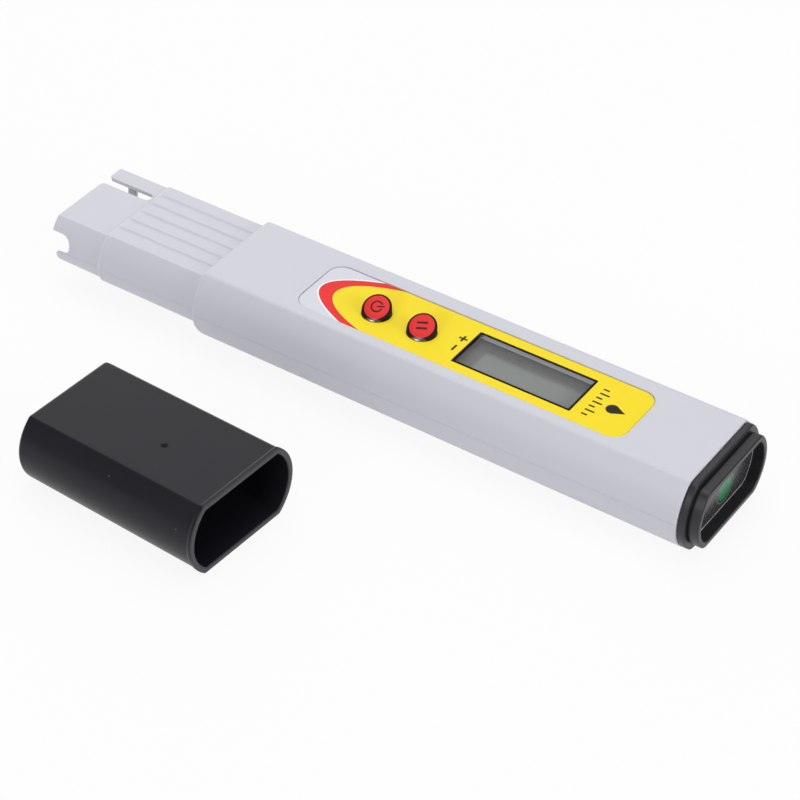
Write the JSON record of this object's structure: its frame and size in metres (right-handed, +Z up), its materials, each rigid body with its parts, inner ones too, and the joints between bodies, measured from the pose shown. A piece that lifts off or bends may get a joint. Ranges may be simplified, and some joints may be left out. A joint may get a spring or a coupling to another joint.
{
  "type": "digital water tester",
  "caption": "Pen-type digital water tester with a display, press buttons, a slotted electrode nose, a pull-off battery cap and a loose protective cap.",
  "frame": {"origin": "middle of the pen's flat back, on which it lies", "axes": "+X along the pen from its electrode nose to its battery end, +Y away from the cap that lies beside it, +Z up out of the display"},
  "size_m": [0.153, 0.0873, 0.0197],
  "materials": {
    "shell_plastic": "satin moulded, pale lavender grey",
    "black_plastic": "satin moulded, black",
    "cap_plastic": "satin moulded, charcoal",
    "label_print": "printed film, yellow with a red arch",
    "dark_label": "printed film, dark grey",
    "red_button": "gloss, red",
    "clear_window": "clear acrylic",
    "lcd_panel": "grey-green display glass",
    "seal_rubber": "matte",
    "board_laminate": "green solder mask",
    "black_epoxy": "potting blob",
    "white_nylon": "natural",
    "steel": "nickel plated",
    "contact_brass": "sheet",
    "platinum": "polished",
    "electrode_glass": "clear",
    "junction_plug": "porous",
    "wire_insulation": "red sleeve"
  },
  "bodies": {
    "pen": {"front_shell": "shell_plastic", "rear_shell": "shell_plastic", "front_label": "label_print", "display_window": "clear_window", "lcd_glass": "lcd_panel", "lcd_strip_near": "seal_rubber", "lcd_strip_far": "seal_rubber", "circuit_board": "board_laminate", "controller_blob": "black_epoxy", "board_screw_1": "steel", "board_screw_2": "steel", "board_screw_3": "steel", "board_screw_4": "steel", "power_switch": "black_plastic", "hold_switch": "black_plastic", "battery_holder": "black_plastic", "battery_cell_1": "steel", "battery_cell_2": "steel", "battery_cell_3": "steel", "battery_cell_4": "steel", "battery_contact_1": "contact_brass", "battery_contact_2": "contact_brass", "electrode_tube": "black_plastic", "glass_stem": "electrode_glass", "platinum_pin": "platinum", "reference_junction": "junction_plug", "electrode_seal": "seal_rubber", "sensor_lead_1": "wire_insulation", "sensor_lead_2": "wire_insulation"},
    "power_key": {"power_button": "red_button", "power_plunger": "white_nylon"},
    "hold_key": {"hold_button": "red_button", "hold_plunger": "white_nylon"},
    "battery_cap": {"end_cap": "black_plastic", "end_seal": "seal_rubber", "end_label": "dark_label", "bridge_contact": "contact_brass"},
    "nose_cap": {"protective_cap": "cap_plastic"}
  },
  "joints": [
    {"name": "power_press", "type": "slide", "parent": "pen", "child": "power_key", "axis": [0, 0, -1], "range_m": [0, 0.0006], "stiffness_N_per_m": 1500},
    {"name": "hold_press", "type": "slide", "parent": "pen", "child": "hold_key", "axis": [0, 0, -1], "range_m": [0, 0.0006], "stiffness_N_per_m": 1500},
    {"name": "battery_cap_pull", "type": "slide", "parent": "pen", "child": "battery_cap", "axis": [1, 0, 0], "range_m": [0, 0.012]},
    {"name": "nose_cap_slide", "type": "slide", "parent": "pen", "child": "nose_cap", "axis": [0.9977, -0.068, 0], "range_m": [-0.0432, 0]}
  ]
}
